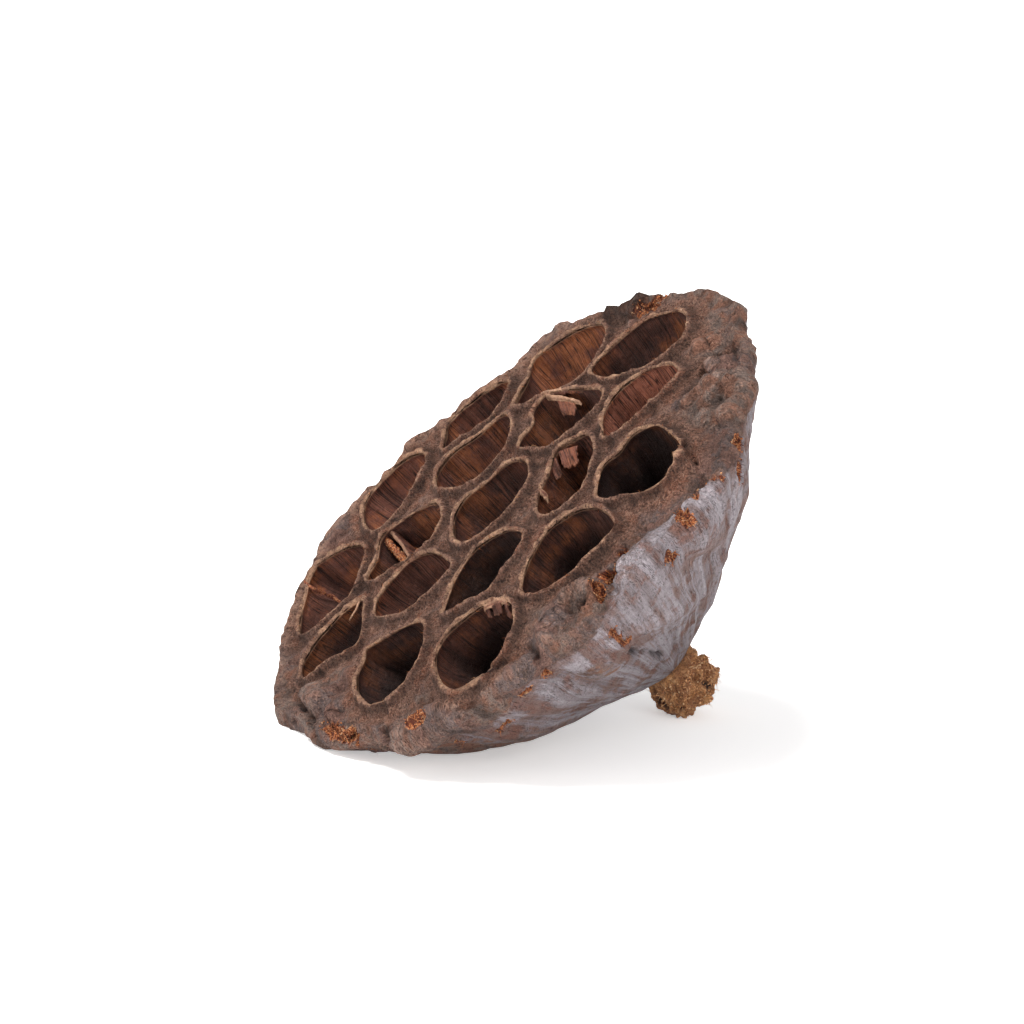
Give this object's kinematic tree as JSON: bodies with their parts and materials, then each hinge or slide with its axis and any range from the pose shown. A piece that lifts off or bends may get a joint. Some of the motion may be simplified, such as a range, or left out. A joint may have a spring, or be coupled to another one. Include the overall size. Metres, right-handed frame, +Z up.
{
  "type": "dried lotus pod",
  "caption": "Dried lotus seed pod, a flat-faced cone with open empty seed cells behind thin raised lips and a short broken stalk, lying on its rim.",
  "frame": {"origin": "centre of the base of the part's box, on the surface it lies on", "axes": "+Z up; -Y towards the viewer of the picture; the pod's face looks up, left and a little towards the viewer"},
  "size_m": [0.07, 0.0844, 0.0638],
  "materials": {
    "pod": "matte dried plant tissue",
    "stalk": "rough fibrous"
  },
  "bodies": {
    "root": {"pod": "pod", "stem_stub": "stalk"}
  },
  "joints": []
}
